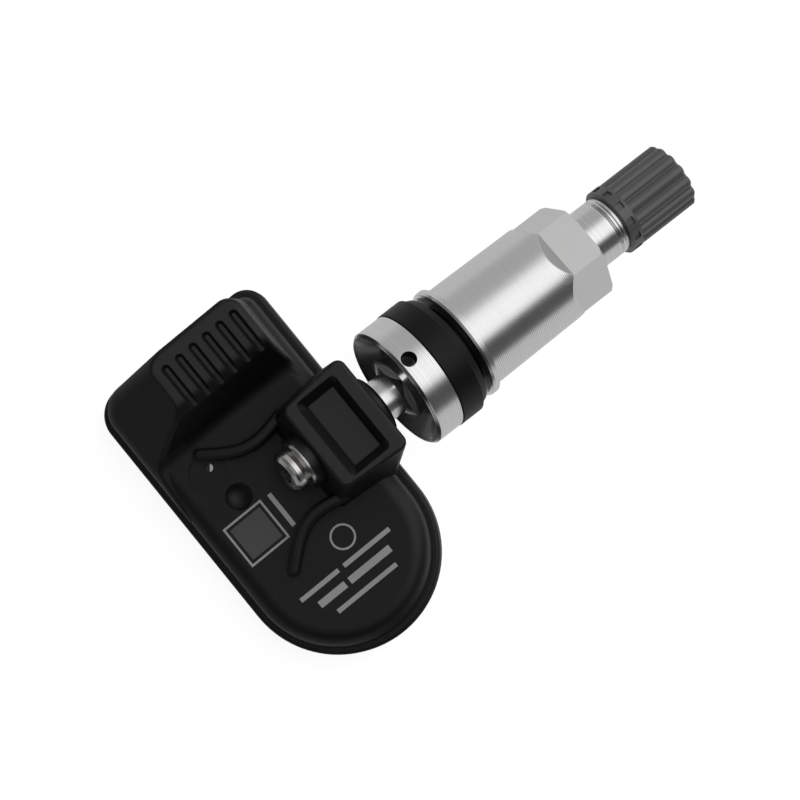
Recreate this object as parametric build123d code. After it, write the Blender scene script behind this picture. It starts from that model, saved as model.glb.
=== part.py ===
from build123d import *
import math
import os

# Tyre pressure sensor with a clamp-in metal valve, in millimetres.
# The valve lies along +X, its cap at the far end. The origin is on the valve axis, in the plane
# where the rubber grommet seals against the inside of the rim. The housing is drawn level, in a
# frame of its own with +Z square to the label face, and is then leaned back onto the valve.

# Valve: lengths along the axis
VALVE_LEAN = 18.5
GROMMET_FLANGE_LENGTH = 4.4
GROMMET_NECK_LENGTH = 4.6
COLLAR_LENGTH = 3.9
NECK_GAP = 3.2
NUT_LENGTH = 21.1
NUT_SEAT_GAP = 1.0
NUT_CYLINDER_LENGTH = 14.3
NUT_RAMP_LENGTH = 1.9
STEM_EXPOSED_LENGTH = 5.3
CAP_LENGTH = 10.7

# Valve: radii and widths across the axis
STEM_RADIUS = 4.0
STEM_TIP = 0.5
THREAD_RADIUS = 3.87
THREAD_STEP = 0.05
NECK_RADIUS = 2.85
NECK_SQUARE = 6.1
NECK_SQUARE_LENGTH = 0.7
NECK_SQUARE_CHAMFER = 1.25
VENT_RADIUS = 0.7
RING_POSITIONS = (-1.3, -1.05, -0.6)
RING_DEPTH = 0.1
RING_WIDTH = 0.12
COLLAR_RADIUS = 8.35
COLLAR_BEVEL = 0.35
COLLAR_RIM = 0.15
COLLAR_WEB = 1.4
COLLAR_DISH_TAPER = 1.6
COLLAR_STEP_RADIUS = 4.4
COLLAR_STEP_BACK = 0.15
HOLDING_HOLE_RADIUS = 1.03
HOLDING_HOLE_ANGLE = 9.0
HOLDING_HOLE_SHARE = 0.37
GROMMET_OVERHANG = 0.1
GROMMET_EDGE = 1.0
GROMMET_EDGE_STEP = (0.1, 0.25)
GROMMET_EDGE_SLOPE = 0.7
GROMMET_ROUND = 0.2
GROMMET_NECK_RADIUS = 5.7
NUT_LIP_RADIUS = 7.85
NUT_LIP_LENGTH = 1.3
NUT_LIP_EDGE = 0.45
NUT_LIP_SLOPE = 0.2
NUT_FRONT_EDGE = 0.4
NUT_RADIUS = 7.2
NUT_TAPER = 0.25
NUT_HEX = 12.0
NUT_HEX_ANGLE = 35.3
NUT_RECESS_RADIUS = 6.0
WASHER_THICKNESS = 1.0
RUNNING_GAP = 0.05
FIT_GAP = 0.1
SNUG_GAP = 0.02

# Cap
CAP_RADIUS = 4.62
CAP_WALL = 0.28
CAP_TOP = 1.2
CAP_FLUTES = 14
CAP_FLUTE_RADIUS = 0.98
CAP_FLUTE_ANGLE = 18.3
CAP_RIM_LENGTH = 1.7
CAP_RIM_EDGE = 0.15
CAP_NOTCHES = 12
CAP_NOTCH_SIZE = 1.0
CAP_NOTCH_DEPTH = 0.3
CAP_NOTCH_ANGLE = 22.6
CAP_EDGE = 0.35
CAP_EDGE_ANGLE = 40.0
CAP_SEAL_LENGTH = 0.8

# Valve core
CORE_RADIUS = 2.6
CORE_LENGTH = 12.7
CORE_CHAMBER_RADIUS = 1.4
CORE_LOWER_RADIUS = 1.9
CORE_RECESS = 0.9
CORE_TOOL_FLAT = 3.0
CORE_TOOL_LENGTH = 2.2
CORE_SEAT_SHARE = 0.55
CORE_SEAL_LENGTH = 1.2
CORE_FOOT_ROOM = 2.2
CORE_WALL = 0.3
CORE_FLOOR = 1.4
CORE_FOOT_SEAL = 0.8
CORE_HEAD_STEP = 0.2
CORE_MOUTH = (0.4, 0.35)
PIN_RADIUS = 0.5
PIN_TRAVEL = 1.2
PIN_COLLAR = 0.5
PIN_COLLAR_GAP = 0.15
PIN_CUP = 0.8
PIN_BUTTON_RADIUS = 0.85
PIN_BUTTON_BACK = 0.2
PIN_BUTTON_FRONT = 0.4
PIN_BUTTON_CROWN = 0.2
SPRING_WIRE = 0.3
SPRING_TURNS = 8
AIR_BORE_RADIUS = 1.1

# Mounting screw
SCREW_RADIUS = 1.75
SCREW_LENGTH = 8.8
SCREW_FLANGE_RADIUS = 3.25
SCREW_FLANGE_THICKNESS = 0.5
SCREW_HEAD_RADIUS = 2.75
SCREW_HEAD_HEIGHT = 2.0
SCREW_HEAD_WAIST = 2.4
SCREW_HEAD_ROUND = 0.55
SCREW_PAD_RADIUS = 3.7
SCREW_PAD = 1.1
SCREW_TIP = 0.4
STAR_RADIUS = 1.5
STAR_CORE_SHARE = 0.79
STAR_DEPTH = 1.6

# Housing outline, seen square to the label face, with the valve axis along y = 0
HOUSING_FRONT_X = 4.55
BATTERY_GAP = 0.65
ROUND_END_Y = -10.8
SQUARE_END_Y = 22.5
REAR_CORNER_RADIUS = 3.9
FRONT_CORNER_RADIUS = 2.8
LABEL_Z = -2.6
HOUSING_HEIGHT = 8.4
COVER_HEIGHT = 2.8
FLANGE_HEIGHT = 1.6
FLANGE_STEP = 0.9
FLANGE_ROUND = 0.5
COVER_ROUND = 1.0
SEAM_WIDTH = 0.6
SEAM_HEIGHT = 0.6
WALL_DRAFT = 5.0
EDGE_ROUND = 2.2
CAVITY_ROUND = 0.8
WALL = 1.3
ROOF = 1.4
FLOOR = 1.4

# Grip bump at the square end
BUMP_HEIGHT = 5.9
BUMP_END_STEP = 0.15
BUMP_LEDGE = 1.65
BUMP_DRAFT = 3.0
FLANK_RUN = 9.55
FLANK_ANGLE = 38.0
SLOPE_TOP_Y = 14.3
SLOPE_ANGLE = 60.0
SLOPE_TOP_RADIUS = 3.0
SLOPE_FOOT_RADIUS = 2.2
FOOT_ANGLE = 8.0
FOOT_REACH = 6.4
BUMP_ROUND = 0.8
BUMP_CORNER = 2.2
GRIP_GROOVES = 6
GRIP_PITCH = 2.14
GRIP_MID_X = -4.5
GRIP_WIDTH = 1.25
GRIP_DEPTH = 0.5
GRIP_TAPER = 38.0
GRIP_END_Y = 19.95
GRIP_BEND = 18.0
BUMP_ROOM_X = (-10.2, 1.0)
BUMP_ROOM_Y = (15.9, 19.9)

# Yoke that holds the valve, with its window, nose and two ribs
YOKE_TOP_Z = 5.5
YOKE_REAR = -3.5
YOKE_FRONT = 5.75
NOSE_FRONT = 7.5
NOSE_RADIUS = 4.5
YOKE_WALL = 2.3
YOKE_HALF_WIDTH = 6.95
YOKE_REAR_HALF_WIDTH = 6.2
YOKE_DRAFT = 8.0
YOKE_CORNER = 1.1
YOKE_ROUND = 0.45
SOCKET_PAD = 1.2
SOCKET_PAD_X = 1.0
WINDOW_SIZE = (6.1, 11.4)
WINDOW_CORNER = 0.7
WINDOW_MID_X = 2.8
WINDOW_DEPTH = 1.5
WINDOW_DRAFT = 36.0
RIB_WIDTH = 1.6
RIB_ROUND = 0.6
RIB_END_HEIGHT = 0.9
RIB_YOKE_HEIGHT = 3.4
UPPER_RIB = [(-13.7, 9.1), (-11.2, 7.3), (-8.8, 6.15), (-6.6, 5.85), (-4.4, 6.1), (-2.4, 6.5)]
LOWER_RIB = [(-13.6, -9.4), (-11.2, -7.4), (-8.8, -6.05), (-6.6, -5.7), (-4.4, -6.0), (-2.4, -6.4)]

# Pressure port and moulding dimple in the label face
PORT_FROM_REAR = 7.25
PORT_Y = 7.2
PORT_RADIUS = 0.55
DISC_SHIFT = (-0.5, -0.6)
DISC_RADIUS = 2.5
DISC_DEPTH = 0.3
DIMPLE_FROM_REAR = 7.95
DIMPLE_Y = 2.0
DIMPLE_RADIUS = 1.75
DIMPLE_DEPTH = 0.8

# Electronics
BOARD_THICKNESS = 0.8
BOARD_GAP = 0.3
STANDOFF_HEIGHT = 0.5
STANDOFF_RADIUS = 1.2
BATTERY_RADIUS = 10.0
BATTERY_HEIGHT = 3.2
BATTERY_RIM = 0.7
BATTERY_ROUND = 0.4
TAB_THICKNESS = 0.25
TAB_WIDTH = 4.0
TAB_FOOT = 1.8
CHIP_SIZE = 7.0
CHIP_HEIGHT = 2.0
CHIP_CORNER = 0.4
GASKET_RADIUS = 1.8
GASKET_BORE = 0.8
FILTER_RADIUS = 1.5
FILTER_THICKNESS = 0.25
COIL_AT = (-5.5, 12.0)
COIL_LENGTH = 9.0
COIL_WIDTH = 3.2
COIL_HEIGHT = 3.0
COIL_CHEEK = 1.0
COIL_CORE_MARGIN = 0.25
COIL_WINDING_MARGIN = 0.06
CRYSTAL_FROM_REAR = 5.15
CRYSTAL_Y = 15.5
CRYSTAL_SIZE = (3.2, 2.5, 0.8)
CRYSTAL_CORNER = 0.4
ANTENNA_X = (-9.0, 0.4)
ANTENNA_Y = 17.6
ANTENNA_TOP_Z = 0.6
ANTENNA_WIDTH = 1.4
ANTENNA_THICKNESS = 0.4
PART_CHIPS = [(3.65, 0.5), (3.65, 2.3), (12.55, 4.6), (14.55, 4.6), (16.55, 4.6), (7.15, 19.0)]
PART_CHIP_SIZE = (1.6, 0.8, 0.8)

# Places that follow from the sizes above
housing_width = 2 * (BATTERY_RADIUS + BATTERY_GAP + WALL + FLANGE_STEP)
mid_x = HOUSING_FRONT_X - housing_width / 2
rear_x = HOUSING_FRONT_X - housing_width
port_at = (rear_x + PORT_FROM_REAR, PORT_Y)
collar_front = -GROMMET_FLANGE_LENGTH
collar_back = collar_front - COLLAR_LENGTH
housing_x = collar_back - NECK_GAP - NOSE_FRONT
nut_back = NUT_SEAT_GAP
nut_front = nut_back + NUT_LENGTH
cap_back = nut_front + STEM_EXPOSED_LENGTH
cap_front = cap_back + CAP_LENGTH
seal_front = cap_front - CAP_TOP
stem_front = seal_front - CAP_SEAL_LENGTH
neck_back = housing_x + YOKE_REAR + YOKE_WALL
screw_seat = housing_x + YOKE_REAR - SCREW_PAD
core_front = stem_front - CORE_RECESS
core_back = core_front - CORE_LENGTH
sin_lean = math.sin(math.radians(VALVE_LEAN))
cos_lean = math.cos(math.radians(VALVE_LEAN))
base_z = LABEL_Z - HOUSING_HEIGHT
parting_z = base_z + COVER_HEIGHT
floor_z = base_z + FLOOR
ceiling_z = LABEL_Z - ROOF
board_z = floor_z + STANDOFF_HEIGHT
board_top = board_z + BOARD_THICKNESS
cavity_inset = FLANGE_STEP + WALL
flange_z = parting_z + FLANGE_HEIGHT
wall_foot_z = flange_z - FLANGE_ROUND
bump_top = LABEL_Z + BUMP_HEIGHT
grommet_flange_radius = COLLAR_RADIUS + GROMMET_OVERHANG
core_seat = core_front - CORE_LENGTH * CORE_SEAT_SHARE
core_bore = CORE_LOWER_RADIUS - CORE_WALL
core_shoulder = core_front - CORE_TOOL_LENGTH


def turned(points):
    """Solid turned about the valve axis from (x, radius) points."""
    return revolve(make_face(Polyline(*points, close=True)), Axis.X)


def tube(x0, x1, outer, inner=0.0):
    """Plain sleeve on the valve axis."""
    return turned([(x0, inner), (x0, outer), (x1, outer), (x1, inner)])


def rings(solid, x, radius):
    """Round edges of a turned solid at one place and radius."""
    found = []
    for edge in solid.edges().filter_by(GeomType.CIRCLE):
        if abs(edge.arc_center.X - x) < 0.01 and abs(edge.radius - radius) < 0.01:
            found.append(edge)
    return found


def across(x):
    """Plane square to the valve at a distance along it."""
    return Plane(origin=(x, 0, 0), x_dir=(0, 1, 0), z_dir=(1, 0, 0))


def level(face, low, high):
    """Flat face of the housing's own frame, raised from one height to another."""
    return Pos(0, 0, low) * extrude(face, high - low)


def block(x, y, z):
    """Box between two values along each direction."""
    size = Box(x[1] - x[0], y[1] - y[0], z[1] - z[0])
    return Pos((x[0] + x[1]) / 2, (y[0] + y[1]) / 2, (z[0] + z[1]) / 2) * size


def lean(shape):
    """Carries a piece from the housing's own frame to the valve's frame."""
    return Location((housing_x, 0, 0), (0, -VALVE_LEAN, 0)) * shape


def plan(inset):
    """The housing's outline: three straight sides and a round end, drawn in by an inset."""
    half = housing_width / 2 - inset
    length = SQUARE_END_Y - inset - ROUND_END_Y
    sides = Pos(mid_x, ROUND_END_Y + length / 2) * Rectangle(2 * half, length)
    sides = round_corners(sides, inset)
    return sides + Pos(mid_x, ROUND_END_Y) * Circle(half)


def round_corners(face, inset):
    """Rounds the two corners at the square end, the rear one more."""
    for place, radius in ((0, REAR_CORNER_RADIUS), (-1, FRONT_CORNER_RADIUS)):
        corner = face.vertices().group_by(Axis.Y)[-1].sort_by(Axis.X)[place]
        face = fillet(corner, max(radius - inset, WALL))
    return face


def on_axis_x(distance, z):
    """Where a plane square to the valve, at a distance along it, stands at one height."""
    return (distance + z * sin_lean) / cos_lean


def slope_profile():
    """Side view of the bump: foot line, hollow bend, slope, rounded crest and flat top."""
    turn = math.radians(SLOPE_ANGLE)
    foot_turn = math.radians(FOOT_ANGLE)
    crest = SLOPE_TOP_RADIUS * math.tan(turn / 2)
    slope_top = (SLOPE_TOP_Y - crest * math.cos(turn), bump_top - crest * math.sin(turn))
    bend_rise = SLOPE_FOOT_RADIUS * (math.cos(foot_turn) - math.cos(turn))
    bend_run = SLOPE_FOOT_RADIUS * (math.sin(turn) - math.sin(foot_turn))
    slope_foot_y = slope_top[0] - (slope_top[1] - LABEL_Z - bend_rise) / math.tan(turn)
    foot = (slope_foot_y - bend_run, LABEL_Z)
    buried = (foot[0] - FOOT_REACH, LABEL_Z - FOOT_REACH * math.tan(foot_turn))
    bend = TangentArc(foot, (slope_foot_y, LABEL_Z + bend_rise),
                      tangent=(math.cos(foot_turn), math.sin(foot_turn)))
    slope = Line(bend @ 1, slope_top)
    top_arc = TangentArc(slope_top, (SLOPE_TOP_Y + crest, bump_top),
                         tangent=(math.cos(turn), math.sin(turn)))
    end_y = SQUARE_END_Y + 1
    rest = Polyline(top_arc @ 1, (end_y, bump_top), (end_y, wall_foot_z), (buried[0], wall_foot_z),
                    buried, foot)
    return make_face(bend + slope + top_arc + rest)


def bump():
    """Grip block with a long rear flank, six grooves and a hollow slope to the label face."""
    length = SQUARE_END_Y - BUMP_END_STEP
    width = housing_width - FLANGE_STEP - BUMP_LEDGE
    sides = Pos(rear_x + FLANGE_STEP + width / 2, length / 2) * Rectangle(width, length)
    sides = round_corners(sides, BUMP_END_STEP)
    solid = Pos(0, 0, wall_foot_z) * extrude(sides, bump_top - wall_foot_z, taper=BUMP_DRAFT)
    solid = solid & extrude(Plane.YZ * slope_profile(), housing_width, both=True)
    flank_top_x = rear_x + FLANK_RUN
    flank_drop = FLANK_RUN * math.tan(math.radians(FLANK_ANGLE))
    front_view = make_face(Polyline(
        (rear_x, wall_foot_z), (rear_x, bump_top - flank_drop), (flank_top_x, bump_top),
        (HOUSING_FRONT_X, bump_top), (HOUSING_FRONT_X, wall_foot_z), close=True))
    solid = solid & extrude(Plane.XZ * front_view, 2 * SQUARE_END_Y, both=True)
    flank = [f for f in solid.faces().filter_by(GeomType.PLANE)
             if f.normal_at().X < -0.5 and f.normal_at().Z > 0.5]
    end_ridge = sorted(flank[0].edges(), key=lambda e: e.center().Y)[-1]
    solid = fillet(end_ridge, BUMP_CORNER)
    top = solid.faces().sort_by(Axis.Z)[-1]
    rim = [e for e in top.edges() if e.bounding_box().min.Y < e.bounding_box().max.Y - 0.01
           or e.center().Y > GRIP_END_Y]
    solid = fillet(rim, BUMP_ROUND)
    groove = grip_groove()
    for i in range(GRIP_GROOVES):
        solid -= Pos(GRIP_MID_X + (i - (GRIP_GROOVES - 1) / 2) * GRIP_PITCH, 0, 0) * groove
    return solid


def grip_groove():
    """Cutter with slanted sides and a round end, which bends with the crest and fades out."""
    turn = math.radians(GRIP_BEND)
    half = GRIP_WIDTH / 2
    floor_half = half - GRIP_DEPTH * math.tan(math.radians(GRIP_TAPER))
    round_y = GRIP_END_Y - half
    crest_y = SLOPE_TOP_Y + SLOPE_TOP_RADIUS * math.tan(math.radians(SLOPE_ANGLE) / 2)
    bent = (crest_y - SLOPE_TOP_RADIUS * math.sin(turn),
            bump_top - SLOPE_TOP_RADIUS * (1 - math.cos(turn)))
    run = 2 * SLOPE_TOP_RADIUS
    out = (bent[0] - run * math.cos(turn), bent[1] - run * math.sin(turn))
    route = Line((round_y, bump_top), (crest_y, bump_top))
    route += TangentArc((crest_y, bump_top), bent, tangent=(-1, 0))
    route += Line(bent, out)
    section = Plane.XZ.offset(-round_y) * Polyline(
        (-half, bump_top), (half, bump_top), (floor_half, bump_top - GRIP_DEPTH),
        (-floor_half, bump_top - GRIP_DEPTH), close=True)
    cone = Cone(floor_half, half, GRIP_DEPTH)
    end = Pos(0, round_y, bump_top - GRIP_DEPTH / 2) * cone
    return sweep(make_face(section), Plane.YZ * route) + end


def yoke():
    """Drafted block square to the valve in front and behind, with a window in its top."""
    low = flange_z
    buried_z = LABEL_Z - ROOF / 2
    buried_x = HOUSING_FRONT_X - FLANGE_STEP - WALL / 2
    side_view = make_face(Polyline(
        (on_axis_x(YOKE_REAR, buried_z), buried_z), (on_axis_x(YOKE_REAR, YOKE_TOP_Z), YOKE_TOP_Z),
        (on_axis_x(YOKE_FRONT, YOKE_TOP_Z), YOKE_TOP_Z), (on_axis_x(YOKE_FRONT, low), low),
        (buried_x, low), (buried_x, buried_z), close=True))
    top_rear = on_axis_x(YOKE_REAR, YOKE_TOP_Z)
    top_front = on_axis_x(YOKE_FRONT, YOKE_TOP_Z)
    widening = (YOKE_HALF_WIDTH - YOKE_REAR_HALF_WIDTH) / (top_front - top_rear)
    rear_half = YOKE_REAR_HALF_WIDTH - widening * housing_width
    front_half = YOKE_HALF_WIDTH + widening * housing_width
    top_view = make_face(Polyline(
        (top_rear - housing_width, -rear_half), (top_front + housing_width, -front_half),
        (top_front + housing_width, front_half), (top_rear - housing_width, rear_half), close=True))
    solid = extrude(Plane.XZ * side_view, housing_width, both=True)
    solid = solid & (Pos(0, 0, YOKE_TOP_Z) * extrude(top_view, low - YOKE_TOP_Z, taper=-YOKE_DRAFT))
    upright = []
    for edge in solid.edges():
        top_ends = [v for v in edge.vertices() if abs(v.Z - YOKE_TOP_Z) < 0.01]
        if len(top_ends) == 1:
            upright.append(edge)
    solid = fillet(upright, YOKE_CORNER)
    solid = fillet(solid.faces().sort_by(Axis.Z)[-1].edges(), YOKE_ROUND)
    opening = RectangleRounded(*WINDOW_SIZE, WINDOW_CORNER)
    window = extrude(opening, -WINDOW_DEPTH, taper=WINDOW_DRAFT)
    return solid - Pos(WINDOW_MID_X, 0, YOKE_TOP_Z) * window


def rib(points):
    """Curved rib on the label face, lower towards its free end."""
    line = Spline(*points)
    shape = trace(line, RIB_WIDTH) + Pos(*points[0]) * Circle(RIB_WIDTH / 2)
    wall = level(shape, LABEL_Z - ROOF / 2, YOKE_TOP_Z)
    free_x = points[0][0] - RIB_WIDTH
    yoke_x = points[-1][0]
    wedge = make_face(Polyline(
        (free_x, LABEL_Z - ROOF), (free_x, LABEL_Z + RIB_END_HEIGHT),
        (yoke_x + RIB_WIDTH, LABEL_Z + RIB_YOKE_HEIGHT), (yoke_x + RIB_WIDTH, LABEL_Z - ROOF), close=True))
    wall = wall & extrude(Plane.XZ * wedge, housing_width, both=True)
    top = wall.faces().sort_by(Axis.Z)[-1]
    return fillet(top.edges().sort_by(Axis.X)[:-1], RIB_ROUND)


def seam(gap):
    """Loop that stands up from the cover's rim, or the groove for it with a gap."""
    middle = cavity_inset / 2
    half = SEAM_WIDTH / 2 + gap
    return plan(middle - half) - plan(middle + half)


def housing():
    """Moulded upper shell with its grip bump, yoke, nose and ribs in one piece."""
    shell = Pos(0, 0, wall_foot_z) * extrude(plan(FLANGE_STEP), LABEL_Z - wall_foot_z, taper=WALL_DRAFT)
    shell = fillet(shell.faces().sort_by(Axis.Z)[-1].edges(), EDGE_ROUND)
    flange = level(plan(0), parting_z, flange_z)
    flange = fillet(flange.faces().sort_by(Axis.Z)[-1].edges(), FLANGE_ROUND)
    solid = shell + flange
    solid += bump()
    solid += yoke()
    solid += rib(UPPER_RIB)
    solid += rib(LOWER_RIB)
    cavity = level(plan(cavity_inset), parting_z, ceiling_z)
    solid -= fillet(cavity.faces().sort_by(Axis.Z)[-1].edges(), CAVITY_ROUND)
    under_socket = block((SOCKET_PAD_X, housing_width / 2), (-NOSE_RADIUS, NOSE_RADIUS),
                         (ceiling_z - SOCKET_PAD, ceiling_z))
    solid += under_socket & level(plan(FLANGE_STEP + WALL / 2), base_z, LABEL_Z)
    room_top = bump_top - ROOF - GRIP_DEPTH
    solid -= block(BUMP_ROOM_X, BUMP_ROOM_Y, (ceiling_z - CAVITY_ROUND, room_top))
    solid -= level(seam(FIT_GAP), parting_z, parting_z + SEAM_HEIGHT + FIT_GAP)
    disc = level(Circle(DISC_RADIUS), LABEL_Z - DISC_DEPTH, LABEL_Z + 1)
    solid -= Pos(*port_at) * Pos(*DISC_SHIFT) * disc
    solid -= Pos(*port_at) * level(Circle(PORT_RADIUS), ceiling_z, LABEL_Z)
    solid -= Pos(*port_at) * level(Circle(FILTER_RADIUS + FIT_GAP), ceiling_z, ceiling_z + FILTER_THICKNESS)
    bowl_radius = (DIMPLE_RADIUS**2 + DIMPLE_DEPTH**2) / (2 * DIMPLE_DEPTH)
    bowl = Pos(0, 0, LABEL_Z + bowl_radius - DIMPLE_DEPTH) * Sphere(bowl_radius)
    solid -= Pos(rear_x + DIMPLE_FROM_REAR, DIMPLE_Y) * bowl
    solid = lean(solid)
    nose_end = housing_x + NOSE_FRONT
    nose = tube(housing_x + YOKE_FRONT - YOKE_WALL, nose_end, NOSE_RADIUS)
    solid += chamfer(rings(nose, nose_end, NOSE_RADIUS), YOKE_ROUND)
    solid += tube(screw_seat, neck_back, SCREW_PAD_RADIUS)
    solid -= tube(neck_back, nose_end + 1, NECK_RADIUS + FIT_GAP)
    solid -= tube(screw_seat - 1, neck_back, SCREW_RADIUS + FIT_GAP)
    return solid


def base_cover():
    """Shallow tray that closes the housing from below, with pads for the board."""
    solid = level(plan(0), base_z, parting_z)
    solid = fillet(solid.faces().sort_by(Axis.Z)[0].edges(), COVER_ROUND)
    solid -= level(plan(cavity_inset), floor_z, parting_z)
    solid += level(seam(0), parting_z, parting_z + SEAM_HEIGHT)
    for x, y in standoffs():
        solid += Pos(x, y) * level(Circle(STANDOFF_RADIUS), floor_z, board_z)
    return lean(solid)


def standoffs():
    """Four places under the board, clear of its edge."""
    reach = housing_width / 2 - cavity_inset - 2 * STANDOFF_RADIUS
    far_y = SQUARE_END_Y - cavity_inset - 2 * STANDOFF_RADIUS
    spots = []
    for side in (-1, 1):
        spots.append((mid_x + side * reach, far_y))
        spots.append((mid_x + side * reach, ROUND_END_Y))
    return spots


def circuit_board():
    return lean(level(plan(cavity_inset + BOARD_GAP), board_z, board_top))


def battery():
    """Coin cell: a wide can with a narrower lid on the board side."""
    low = board_top + TAB_THICKNESS
    lid = level(Circle(BATTERY_RADIUS - BATTERY_RIM), low, low + BATTERY_HEIGHT / 2)
    can = level(Circle(BATTERY_RADIUS), low + BATTERY_RIM, low + BATTERY_HEIGHT)
    can = fillet(can.edges().group_by(Axis.Z)[-1], BATTERY_ROUND)
    return lean(Pos(mid_x, ROUND_END_Y) * (lid + can))


def battery_tab_lower():
    """Flat strip welded under the cell, soldered where it leaves the cell's edge."""
    x = mid_x - BATTERY_RADIUS / 2
    y = (ROUND_END_Y - BATTERY_RADIUS / 2, ROUND_END_Y + BATTERY_RADIUS + TAB_FOOT)
    return lean(block((x - TAB_WIDTH / 2, x + TAB_WIDTH / 2), y, (board_top, board_top + TAB_THICKNESS)))


def battery_tab_upper():
    """Strip welded on the cell, bent down past its edge to a foot on the board."""
    cell_top = board_top + TAB_THICKNESS + BATTERY_HEIGHT
    edge_y = ROUND_END_Y + BATTERY_RADIUS
    x = mid_x + BATTERY_RADIUS / 3
    wide = (x - TAB_WIDTH / 2, x + TAB_WIDTH / 2)
    leg_y = edge_y + BOARD_GAP
    strip = block(wide, (ROUND_END_Y, leg_y + TAB_THICKNESS), (cell_top, cell_top + TAB_THICKNESS))
    strip += block(wide, (leg_y, leg_y + TAB_THICKNESS), (board_top, cell_top))
    strip += block(wide, (leg_y, leg_y + TAB_FOOT), (board_top, board_top + TAB_THICKNESS))
    return lean(strip)


def sensor_chip():
    """Pressure sensor package with a vent in its lid, under the port."""
    half = CHIP_SIZE / 2
    body = block((-half, half), (-half, half), (board_top, board_top + CHIP_HEIGHT))
    body = chamfer(body.edges().filter_by(Axis.Z), CHIP_CORNER)
    vent = level(Circle(GASKET_BORE / 2), board_top + CHIP_HEIGHT / 2, board_top + CHIP_HEIGHT)
    return lean(Pos(*port_at) * (body - vent))


def port_gasket():
    """Soft tube between the chip's lid and the filter in the roof."""
    ring = Circle(GASKET_RADIUS) - Circle(GASKET_BORE)
    return lean(Pos(*port_at) * level(ring, board_top + CHIP_HEIGHT, ceiling_z))


def port_filter():
    disc = level(Circle(FILTER_RADIUS), ceiling_z, ceiling_z + FILTER_THICKNESS)
    return lean(Pos(*port_at) * disc)


def coil_core():
    """Ferrite bobbin with a square cheek at each end."""
    end = COIL_LENGTH / 2
    core = coil_bar(end, COIL_CORE_MARGIN)
    for side in (-1, 1):
        x = sorted((side * end, side * (end - COIL_CHEEK)))
        core += block(x, (-COIL_WIDTH / 2, COIL_WIDTH / 2), (board_top, board_top + COIL_HEIGHT))
    return lean(Pos(*COIL_AT) * core)


def coil_bar(end, margin):
    """Bar along the coil, smaller all round than its cheeks by a share of their size."""
    y = COIL_WIDTH * (0.5 - margin)
    low = board_top + COIL_HEIGHT * margin
    return block((-end, end), (-y, y), (low, board_top + COIL_HEIGHT * (1 - margin)))


def coil_winding():
    """Copper winding between the cheeks, as one wound block."""
    end = COIL_LENGTH / 2 - COIL_CHEEK
    wound = coil_bar(end, COIL_WINDING_MARGIN) - coil_bar(end, COIL_CORE_MARGIN)
    return lean(Pos(*COIL_AT) * wound)


def crystal():
    x, y, z = CRYSTAL_SIZE
    can = block((-x / 2, x / 2), (-y / 2, y / 2), (board_top, board_top + z))
    can = fillet(can.edges().filter_by(Axis.Z), CRYSTAL_CORNER)
    return lean(Pos(rear_x + CRYSTAL_FROM_REAR, CRYSTAL_Y) * can)


def radio_antenna():
    """Bent strip that rises from the board into the grip bump and comes down again."""
    depth = (ANTENNA_Y - ANTENNA_WIDTH / 2, ANTENNA_Y + ANTENNA_WIDTH / 2)
    strip = block(ANTENNA_X, depth, (ANTENNA_TOP_Z - ANTENNA_THICKNESS, ANTENNA_TOP_Z))
    strip += block((ANTENNA_X[0], ANTENNA_X[0] + ANTENNA_THICKNESS), depth, (board_top, ANTENNA_TOP_Z))
    strip += block((ANTENNA_X[1] - ANTENNA_THICKNESS, ANTENNA_X[1]), depth, (board_top, ANTENNA_TOP_Z))
    return lean(strip)


def chip_parts():
    """Small capacitors and resistors, one group, placed from the rear edge."""
    length, width, height = PART_CHIP_SIZE
    one = block((-length / 2, length / 2), (-width / 2, width / 2), (board_top, board_top + height))
    return lean(Part() + [Pos(rear_x + x, y) * one for x, y in PART_CHIPS])


def mounting_screw():
    """Flanged screw with a waist under its rounded head and a six-lobed socket."""
    step = screw_seat - SCREW_FLANGE_THICKNESS
    end = step - SCREW_HEAD_HEIGHT
    ring = SCREW_FLANGE_THICKNESS / 5
    groove = SCREW_FLANGE_RADIUS - RING_DEPTH
    shoulder = step - SCREW_HEAD_HEIGHT / 3
    brow = end + SCREW_HEAD_HEIGHT / 3
    solid = turned([
        (screw_seat, 0), (screw_seat, SCREW_FLANGE_RADIUS),
        (screw_seat - 2 * ring, SCREW_FLANGE_RADIUS), (screw_seat - 2 * ring, groove),
        (screw_seat - 3 * ring, groove), (screw_seat - 3 * ring, SCREW_FLANGE_RADIUS),
        (step, SCREW_FLANGE_RADIUS - RING_DEPTH), (step, SCREW_HEAD_WAIST),
        (step - ring, SCREW_HEAD_WAIST), (shoulder, SCREW_HEAD_RADIUS - RING_DEPTH),
        (shoulder - ring, SCREW_HEAD_RADIUS), (brow, SCREW_HEAD_RADIUS),
        ((brow + end) / 2, SCREW_HEAD_RADIUS - SCREW_HEAD_ROUND / 4),
        (end, SCREW_HEAD_RADIUS - SCREW_HEAD_ROUND), (end, 0)])
    shank = tube(screw_seat, screw_seat + SCREW_LENGTH, SCREW_RADIUS)
    solid += chamfer(rings(shank, screw_seat + SCREW_LENGTH, SCREW_RADIUS), SCREW_TIP)
    star = Circle(STAR_RADIUS * STAR_CORE_SHARE)
    lobe = STAR_RADIUS * (1 - STAR_CORE_SHARE)
    for i in range(6):
        star += Rot(0, 0, i * 60) * Pos(STAR_RADIUS - lobe, 0) * Circle(lobe)
    socket = extrude(across(end) * star, STAR_DEPTH)
    return solid - socket


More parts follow.
